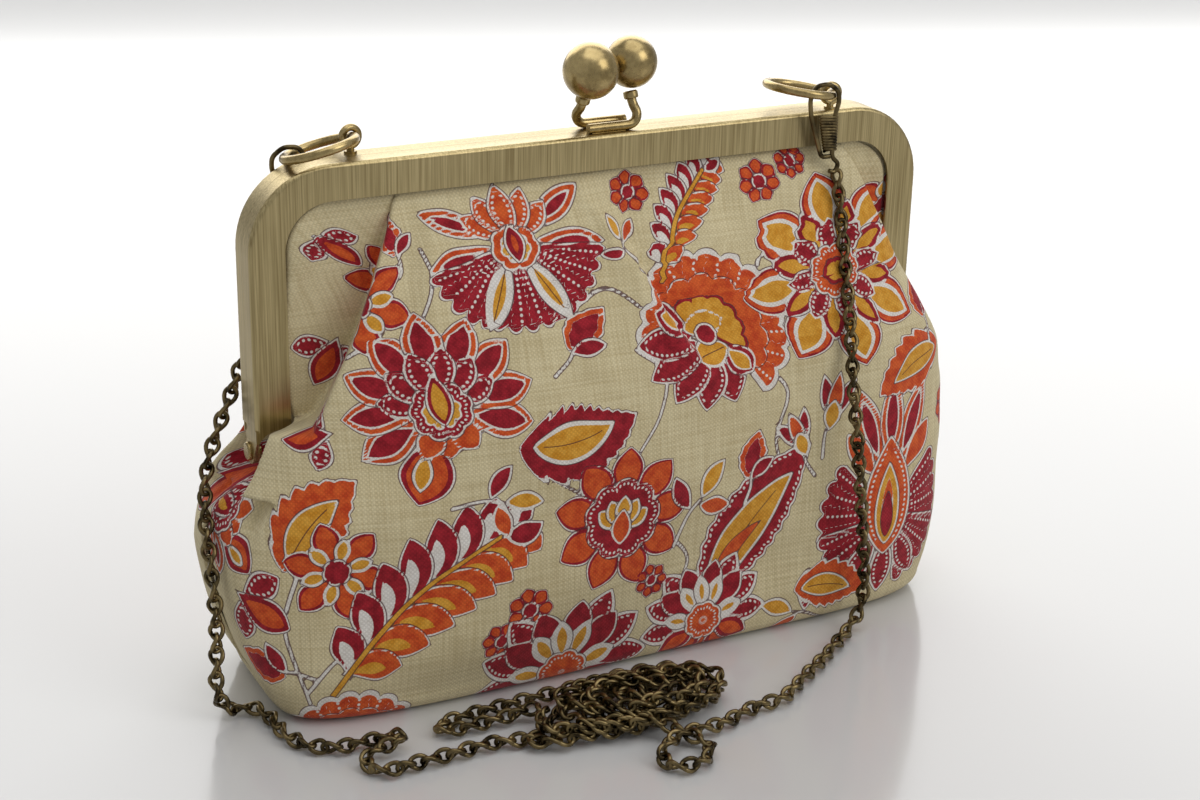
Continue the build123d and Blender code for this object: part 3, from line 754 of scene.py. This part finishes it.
STEMS = (
    (-75 - 42j, -84 - 46j, -92 - 40j), (-20 - 38j, -8 - 33j, 2 - 40j, 8 - 46j),
    (-2 - 52j, 6 - 60j, 4 - 72j, -4 - 84j), (-98 - 104j, -102 - 120j, -96 - 140j, -92 - 150j),
    (-36 - 78j, -28 - 86j, -20 - 92j), (6 - 108j, 14 - 118j, 10 - 128j),
    (40 - 66j, 46 - 74j, 42 - 88j, 46 - 100j), (-96 - 138j, -90 - 130j, -84 - 126j),
    (50 - 24j, 42 - 34j, 36 - 40j), (-58 - 16j, -56 - 26j, -60 - 36j),
)


def print_cloth(across, up, turned):
    """The whole print, as its inks, its dark edges and its lines of beads."""
    sheet = Print(across, up, turned)
    for stem in STEMS:
        sheet.stroke(stem, 0.6)
    for motif, x, y, *laid in LAYOUT:
        motif(sheet.at(x + 1j * y, *laid))
    return (*sheet.inks, *sheet.lines, sheet.lace, sheet.bead)


for where, (piece, _, flat_u, flat_v) in cloth_pieces.items():
    for name, field in zip((*INKS, *EDGES, "lace", "bead"), print_cloth(flat_u, flat_v, where == "back")):
        store(piece, name, field)


# --- printed linen
def shown(*display):
    """A linear colour from display values of 0 to 255."""
    return tuple(((value / 255 + 0.055) / 1.055) ** 2.4 for value in display)


# Pitch of the threads, half width of the dark outlines and radius of the white beads, in millimetres.
THREAD = 0.6
LINE_HALF = 0.15
BEAD_RADIUS = 0.4


def printed_linen():
    """Unbleached linen in plain weave, printed in four inks with dark outlines."""
    n = Nodes("printed_linen")

    def attribute(name):
        return n.node("ShaderNodeAttribute", attribute_name=name).outputs["Fac"]

    across, up = attribute("flat_u"), attribute("flat_v")
    flat = n.node("ShaderNodeCombineXYZ", {0: across, 1: up}).outputs[0]
    wobble = n.times(n.math("SUBTRACT", n.noise(1.6, 3.0, flat), 0.5), 0.3)
    warp_noise = n.noise(1.0, 3.0, flat, (1.3, 0.05, 1))
    weft_noise = n.noise(1.0, 3.0, flat, (0.05, 1.3, 1))
    waves = []
    for place, sway in ((across, warp_noise), (up, weft_noise)):
        phase = n.add(n.times(place, math.pi / THREAD), n.times(sway, 3.0))
        waves.append(n.math("SINE", phase))
    over = n.times(waves[0], waves[1])
    threads = n.add(n.math("ABSOLUTE", waves[0]), n.math("ABSOLUTE", waves[1]))
    weave = n.add(n.times(over, 0.5), n.times(threads, 0.3))
    slubs = n.add(warp_noise, weft_noise)

    tone = n.add(n.times(slubs, 0.5), n.times(n.noise(0.05, 3.0, flat), 0.3))
    colour = n.mix(n.step(tone, 0.45, 0.85), shown(204, 188, 146), shown(230, 217, 177))
    ink_tone = n.add(n.times(n.noise(0.35, 5.0, flat), 0.7), n.times(slubs, 0.15))
    shade = n.step(ink_tone, 0.38, 0.62)
    inks = {
        "white": n.mix(shade, shown(228, 222, 214), shown(240, 236, 230)),
        "crimson": n.mix(shade, shown(138, 20, 34), shown(172, 34, 48)),
        "orange": n.mix(shade, shown(200, 70, 30), shown(226, 100, 44)),
        "gold": n.mix(shade, shown(212, 146, 40), shown(232, 172, 66)),
    }
    for name, ink in inks.items():
        colour = n.mix(n.step(n.add(attribute(name), wobble), -0.08, 0.1), colour, ink)
    along = n.times(n.math("SUBTRACT", n.math("FRACT", attribute("bead")), 0.5), 1.5)
    lace = attribute("lace")
    spot = n.math("SQRT", n.add(n.times(lace, lace), n.times(along, along)))
    colour = n.mix(n.step(spot, BEAD_RADIUS + 0.12, BEAD_RADIUS - 0.1), colour, inks["white"])
    edges = [n.math("ABSOLUTE", attribute(name)) for name in EDGES]
    nearest = n.math("MINIMUM", n.math("MINIMUM", edges[0], edges[1]), edges[2])
    thin = n.add(nearest, n.times(wobble, 0.4))
    line = n.times(n.step(thin, LINE_HALF + 0.08, LINE_HALF - 0.07), 0.85)
    colour = n.mix(line, colour, shown(84, 44, 48))
    # Painted shade: the cloth colour is darkened in the hollows between the threads, where the weave is low.
    dark = n.times(n.step(weave, 0.75, -0.1), 0.22)
    colour = n.mix(dark, colour, shown(90, 78, 60), "MULTIPLY")
    height = n.add(weave, n.times(slubs, 0.8))
    normal = n.bump(height, 0.00009, 0.6)
    n.set(Base_Color=colour, Roughness=0.9, Normal=normal, Sheen_Weight=0.12, Specular_IOR_Level=0.25)
    return n.material


# --- dressing the pieces
def plain(name, colour):
    """A dull even material for the pieces inside the bag."""
    n = Nodes(name)
    n.set(Base_Color=colour, Roughness=0.85)
    return n.material


def dress(start, material):
    """Gives a material to the pieces whose names start so."""
    for node, piece in frame["nodes"].items():
        if node.startswith(start):
            for slot in piece.material_slots:
                slot.link = "DATA"
                slot.material = material


chain_metal = chain_brass()
dress("frame_", brushed_brass())
dress(("clasp", "ring", "chain_eye", "hinge"), polished_brass())
dress("hook", chain_metal)
dress("paper_cord", plain("paper_cord", (0.42, 0.34, 0.2)))
dress("base_board", plain("base_board", (0.6, 0.59, 0.55)))

# --- lining, side webs and wound hook wraps
BODY_OF = {node: body for body, nodes in frame["record"]["behaviour"]["bodies"].items() for node in nodes}
LINING_GAP = 2.2
LINING_RIM_GAP = 0.5
LINING_FLOOR = 6.2


def cotton():
    """Plain beige cotton of the lining."""
    n = Nodes("lining_cotton")
    threads = n.add(n.noise(1.0, 2.0, stretch=(2600, 300, 300)), n.noise(1.0, 2.0, stretch=(300, 300, 2600)))
    colour = n.mix(n.step(threads, 0.7, 1.3), shown(176, 158, 122), shown(206, 190, 154))
    n.set(Base_Color=colour, Roughness=0.92, Normal=n.bump(threads, 0.00005, 0.5))
    return n.material


def moved_in(points, side, step=3):
    """A coarser copy of a cloth grid, moved inside it, that stays in the channels at the rim and limbs."""
    rows, columns = (list(range(0, size - 1, step)) + [size - 1] for size in points.shape[:2])
    down, across = np.gradient(points, axis=0), np.gradient(points, axis=1)
    normal = np.cross(across, down)
    normal /= np.maximum(np.linalg.norm(normal, axis=-1, keepdims=True), 1e-6)
    height = points[..., 2]
    if (normal[height > 40] * [0, side, 0]).sum() < 0:
        normal = -normal
    steps = np.linalg.norm(np.diff(points, axis=1), axis=-1)
    run = np.array([run_of(row) for row in steps])
    from_edge = np.minimum(run, run[:, -1:] - run)
    beside = np.where(height > 60, ease(from_edge, 0, 12), 1.0)
    gap = LINING_RIM_GAP + (LINING_GAP - LINING_RIM_GAP) * ease(RIM_Z - height, 0, 12) * beside
    inside = points + normal * gap[..., None]
    inside[..., 2] = np.maximum(np.minimum(inside[..., 2], RIM_Z + 1), LINING_FLOOR)
    return inside[np.ix_(rows, columns)]


def side_web(sign):
    """The pleat of lining between the two halves beside a hinge, folded inwards."""
    height = np.linspace(-9, 17, 20)[:, None]
    share = np.linspace(-1, 1, 25)[None]
    inward = np.interp(height, (-9, 2, 17), (3, 8, 13))
    x = sign * (LIMB_INNER - 1.6 - inward * (1 - np.abs(share) ** 1.4))
    return np.stack(np.broadcast_arrays(x, -2.6 * share, HINGE.z + height), -1)


def circles(line, first, second, radius, sides):
    """A circle of points round each point of a line, in the plane of two unit vectors."""
    phi = np.linspace(0, 2 * math.pi, sides, endpoint=False)[None, :, None]
    return line[:, None] + radius * (np.cos(phi) * first[:, None] + np.sin(phi) * second[:, None])


def tube(name, line, radius, material, sides=8):
    """A round wire along a line of points."""
    ahead = unit(np.gradient(line, axis=0))
    side = np.array([0.31, 0.2, 0.93])
    ring = []
    for tangent in ahead:
        side = unit(side - tangent * (side @ tangent))
        ring.append((side, np.cross(tangent, side)))
    ring = np.array(ring)
    points = circles(line, ring[:, 0], ring[:, 1], radius, sides)
    index = np.arange(len(line) * sides).reshape(len(line), sides)
    quads = np.stack([index[:-1], np.roll(index, -1, 1)[:-1], np.roll(index, -1, 1)[1:], index[1:]], -1).reshape(-1, 4)
    return new_mesh(name, points, quads, material)


lining_material = cotton()
linings = {}
for side, where in ((1, "front"), (-1, "back")):
    grid = moved_in(cloth_pieces[where][1], side)
    linings[where] = grid_mesh(f"lining_{where}", grid, side > 0, lining_material)
    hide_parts(f"{where}_lining_lower", f"{where}_lining_upper")
for name, sign in (("left", -1), ("right", 1)):
    grid = side_web(sign)
    web = grid_mesh(f"side_web_{name}", grid, sign > 0, lining_material)
    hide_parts(f"side_fold_{name}")
    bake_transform(web)

# Each spring hook's shank, as its origin, the way its gate faces and the way it stands.
HOOKS = {
    "left": ((-87.3, 8.4, 128.4), (1, 0, 0), (0, -0.082, 1)),
    "right": ((68.3, -10.2, 134.7), (-0.997, 0.073, 0), (0.001, 0.067, 1)),
}
WRAP_TURNS = 12
TURN_POINTS = 24
WRAP_WIRE = 0.47


def wound_wrap(name, origin, gate, up):
    """Wire wound round a hook's shank, wider towards the top."""
    share = np.linspace(0, 1, WRAP_TURNS * TURN_POINTS)[:, None]
    angle = share * WRAP_TURNS * 2 * math.pi
    origin, gate, up = (np.array(v, float) for v in (origin, gate, up))
    side = np.cross(gate, up)
    across = 0.9 + 0.6 * share + (1.7 + 0.9 * share) * np.cos(angle)
    line = origin + gate * across + side * 0.8 * np.sin(angle) + up * (1.0 + 9.8 * share)
    wrap = tube(f"wound_wrap_{name}", line, WRAP_WIRE, chain_metal)
    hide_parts(f"hook_wrap_{name}")
    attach(wrap, BODY_OF[f"hook_wrap_{name}"])


for name, stance in HOOKS.items():
    wound_wrap(name, *stance)

# --- printed cloth
linen = printed_linen()
for where, (piece, *_) in cloth_pieces.items():
    piece.data.materials.append(linen)
    layers = [f"{where}_{layer}_{part}" for layer in ("panel", "fleece") for part in ("lower", "upper")]
    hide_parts(*layers)
for piece in (cloth_pieces["front"][0], linings["front"]):
    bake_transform(piece)
for piece in (cloth_pieces["back"][0], linings["back"]):
    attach(piece, "bag")


# --- chain
CHAIN_WIDTH = 4.8
FLOOR_LINE = CHAIN_WIDTH / 2
LINK_HALF_LENGTH = 2.45
LINK_HALF_WIDTH = 1.65
LINK_WIRE = 0.62
LINK_PITCH = 3.5
LINK_TWIST = math.radians(42)
LINK_LEAN = math.radians(45)
LEAN_CHANGE = 0.25
END_REACH = 1.7


def on_floor(*places):
    return [(x, y, FLOOR_LINE) for x, y in places]


LEFT_RUN = [
    (-88.2, 9.4, 121.4), (-89.4, 10.4, 111), (-94, 11.2, 100), (-98.6, 11, 88), (-104.5, 9, 76.5),
    (-111, 4, 65.5), (-114, -4, 54.5), (-114.6, -9, 43), (-114.4, -11.4, 30.5), (-115.4, -13, 19),
    (-116.4, -14, 9.4),
    *on_floor((-113, -12.6), (-106.4, -12.4), (-103.4, -20), (-103.6, -29.4), (-100.4, -37.6), (-94, -42.4)),
    *on_floor((-86.6, -42.4)),
]
FOLD_RUN = [
    (-81, -42.6, 2.6), (-76.8, -44.6, 3.4), (-78.4, -48.4, 4.2), (-84.4, -48.6, 3.2), (-89.2, -50.6, 2.6),
    *on_floor((-89.2, -55.6), (-84.6, -58.4), (-79, -57.8)),
]
MIDDLE_RUN = on_floor((-74, -57.6), (-66, -57.6), (-57, -56.4), (-48.6, -58.8), (-40, -58.8))
RIGHT_RUN = [
    *on_floor((18, -69), (25, -69), (34.6, -62), (46, -54.8), (56, -47.4), (63.6, -41.6)),
    (69.4, -38.8, 7), (69.4, -38.6, 18), (67.2, -39, 34), (65, -39.6, 47), (63.3, -38.6, 63),
    (64.2, -33.6, 77), (66.2, -28, 90), (68, -21, 104), (69.2, -15.4, 117), (69.5, -11.4, 128.2),
]
LOOP_POINTS = 7
LOOP_START = math.radians(200)


def loops(start_x, end_x, middle_y, turns, height, seed, size):
    """Loose loops of chain that drift from one place to the other at about one height."""
    draw = random.Random(seed)
    steps = turns * LOOP_POINTS
    route = []
    for k in range(steps):
        share = k / (steps - 1)
        angle = LOOP_START + 2 * math.pi * k / LOOP_POINTS
        wide = size[0] * draw.uniform(0.75, 1.15)
        tall = size[1] * draw.uniform(0.75, 1.2)
        x = start_x + (end_x - start_x) * share + wide * math.cos(angle)
        y = middle_y + tall * math.sin(angle) + draw.uniform(-1.2, 1.2)
        route.append((x, y, height + draw.uniform(-0.5, 0.9)))
    return route


HEAP_RUN = (
    loops(-34, 2, -57, 3, 2.6, 3, (19, 10))
    + [(12, -48, 4.6), (-2, -42.5, 4.8), (-24, -41.6, 3.6), (-40, -40.6, 2.6), (-56, -41, 2.4), (-64.5, -42.4, 2.4)]
    + [(-66.4, -45.6, 2.4), (-60, -47, 2.4), (-48, -46.4, 2.5), (-36, -47.6, 4.4)]
    + loops(-30, 0, -57, 3, 5.6, 8, (20, 11))
    + loops(-4, -24, -56, 2, 8.0, 5, (16, 8.5))
    + [(-16, -68, 6), (-9, -75, 3.4), (-5, -81, 2.6), (-9, -87.6, 2.4), (-17.6, -88.4, 2.4), (-21, -83, 2.6)]
    + [(-15.6, -77.6, 4.4), (-6.6, -74.4, 3.2), (3.4, -73.6, 2.4), (11, -70.6, 2.4)]
)


def read_line(line, run, at):
    """Points of a line at given distances along it."""
    return np.stack([np.interp(at, run, line[:, axis]) for axis in range(3)], -1)


def spline_points(name, route, step=0.5):
    """Reads evenly spaced points from a smooth NURBS curve through a route in millimetres."""
    curve = bpy.data.curves.new(name, "CURVE")
    curve.dimensions = "3D"
    curve.resolution_u = 24
    spline = curve.splines.new("NURBS")
    spline.points.add(len(route) - 1)
    for point, place in zip(spline.points, route):
        point.co = (*(Vector(place) * MM), 1)
    spline.order_u = 3
    spline.use_endpoint_u = True
    holder = bpy.data.objects.new(name, curve)
    mesh = bpy.data.meshes.new_from_object(holder)
    line = np.array([v.co for v in mesh.vertices]) / MM
    bpy.data.objects.remove(holder)
    bpy.data.meshes.remove(mesh)
    run = run_of(np.linalg.norm(np.diff(line, axis=0), axis=1))
    even = np.arange(0, run[-1], step)
    return read_line(line, run, even), run[-1]


def chain_links(name, line, length, material):
    """Curb links along a line: each is a twisted oval, leaning against the turn of its neighbours."""
    around, section = 22, 7
    first, last = unit(line[0] - line[4]), unit(line[-1] - line[-5])
    line = np.concatenate([[line[0] + END_REACH * first], line, [line[-1] + END_REACH * last]])
    run = np.concatenate([[0], np.linspace(0, length, len(line) - 2) + END_REACH, [length + 2 * END_REACH]])
    count = round(run[-1] / LINK_PITCH)
    pitch = run[-1] / count
    theta = np.linspace(0, 2 * math.pi, around, endpoint=False)
    ring = np.stack([LINK_HALF_LENGTH * np.cos(theta), LINK_HALF_WIDTH * np.sin(theta), 0 * theta], 1)
    twist = LINK_TWIST * ring[:, 0] / LINK_HALF_LENGTH
    ring = np.stack([ring[:, 0], ring[:, 1] * np.cos(twist), ring[:, 1] * np.sin(twist)], 1)
    along = unit(np.roll(ring, -1, 0) - np.roll(ring, 1, 0))
    outward = unit(ring - along * (ring * along).sum(1, keepdims=True))
    other = np.cross(along, outward)
    link = circles(ring, outward, other, LINK_WIRE, section).reshape(-1, 3)
    draw = random.Random(21)
    points, faces = [], []
    side = np.array([0.0, 1.0, 0.0])
    index = np.arange(around * section).reshape(around, section)
    quads = np.stack(
        [index, np.roll(index, -1, 1), np.roll(np.roll(index, -1, 0), -1, 1), np.roll(index, -1, 0)], -1
    ).reshape(-1, 4)
    for k in range(count):
        at = (k + 0.5) * pitch
        behind, middle, ahead = (read_line(line, run, at + away) for away in (-1, 0, 1))
        tangent = unit(ahead - behind)
        side = unit(side - tangent * (side @ tangent))
        lean = (LINK_LEAN if k % 2 else -LINK_LEAN) + draw.uniform(-LEAN_CHANGE, LEAN_CHANGE)
        normal = np.cross(tangent, side)
        across = math.cos(lean) * side + math.sin(lean) * normal
        axes = np.stack([tangent, across, np.cross(tangent, across)])
        points.append(link @ axes + middle)
        faces.append(quads + k * len(link))
    return new_mesh(name, np.concatenate(points), np.concatenate(faces), material)


chain_route = LEFT_RUN + FOLD_RUN + MIDDLE_RUN + HEAP_RUN + RIGHT_RUN
chain_line, chain_length = spline_points("chain_route", chain_route)
chain = chain_links("curb_chain", chain_line, chain_length, chain_metal)
# What would dip into the floor is pressed flat just above it, in metres.
FLOOR_GAP = 0.0001
lowest = min(v.co.z for v in chain.data.vertices)
for vertex in chain.data.vertices:
    if vertex.co.z < FLOOR_GAP:
        vertex.co.z = FLOOR_GAP + 0.2 * (vertex.co.z - lowest)
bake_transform(chain)
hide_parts("chain_left_run", "chain_fold", "chain_middle_run", "chain_heap", "chain_right_run")

# --- camera, light and floor
CAMERA_PLACE = (-0.2562, -0.4985, 0.2901)
AZIMUTH = math.radians(27.413)
DOWN = math.radians(21.594)
ROLL = math.radians(1.314)
LENS = 64.44


def add_camera():
    east, north, flat = math.sin(AZIMUTH), math.cos(AZIMUTH), math.cos(DOWN)
    ahead = Vector((east * flat, north * flat, -math.sin(DOWN)))
    level = Vector((north, -east, 0))
    upright = level.cross(ahead)
    right = math.cos(ROLL) * level + math.sin(ROLL) * upright
    up = -math.sin(ROLL) * level + math.cos(ROLL) * upright
    data = bpy.data.cameras.new("camera")
    data.lens = LENS
    data.sensor_width = 36
    camera = placed("camera", data)
    turn = Matrix((right, up, -ahead)).transposed().to_4x4()
    camera.matrix_world = Matrix.Translation(CAMERA_PLACE) @ turn
    bpy.context.scene.camera = camera


def add_floor():
    n = Nodes("pale_floor")
    n.set(Base_Color=(0.62, 0.62, 0.62), Roughness=0.16, Specular_IOR_Level=0.5, Coat_Weight=0.3, Coat_Roughness=0.08)
    bpy.ops.mesh.primitive_plane_add(size=8)
    floor = bpy.context.object
    floor.name = "floor"
    floor.data.materials.append(n.material)


def add_area(name, place, target, size, power, colour=(1, 1, 1)):
    data = bpy.data.lights.new(name, "AREA")
    data.energy = power
    data.color = colour
    data.shape = "RECTANGLE"
    data.size, data.size_y = size
    lamp = placed(name, data)
    lamp.location = place
    lamp.rotation_euler = (Vector(target) - Vector(place)).to_track_quat("-Z", "Y").to_euler()


def add_light():
    world = bpy.data.worlds.new("studio")
    world.use_nodes = True
    background = world.node_tree.nodes["Background"].inputs
    background["Color"].default_value = (1, 1, 1, 1)
    background["Strength"].default_value = 0.42
    bpy.context.scene.world = world
    add_area("window", (0.5, 1.5, 0.9), (0, 0, 0.05), (2.4, 1.5), 22, (1.0, 0.99, 0.97))
    add_area("soft_right", (0.62, -0.85, 0.8), (0, 0, 0.06), (0.7, 0.7), 3.4, (1.0, 0.98, 0.95))
    add_area("top", (0.1, -0.1, 1.3), (0, 0, 0.0), (1.2, 1.2), 5)


add_camera()
add_floor()
add_light()
bpy.context.scene.view_settings.view_transform = "Standard"
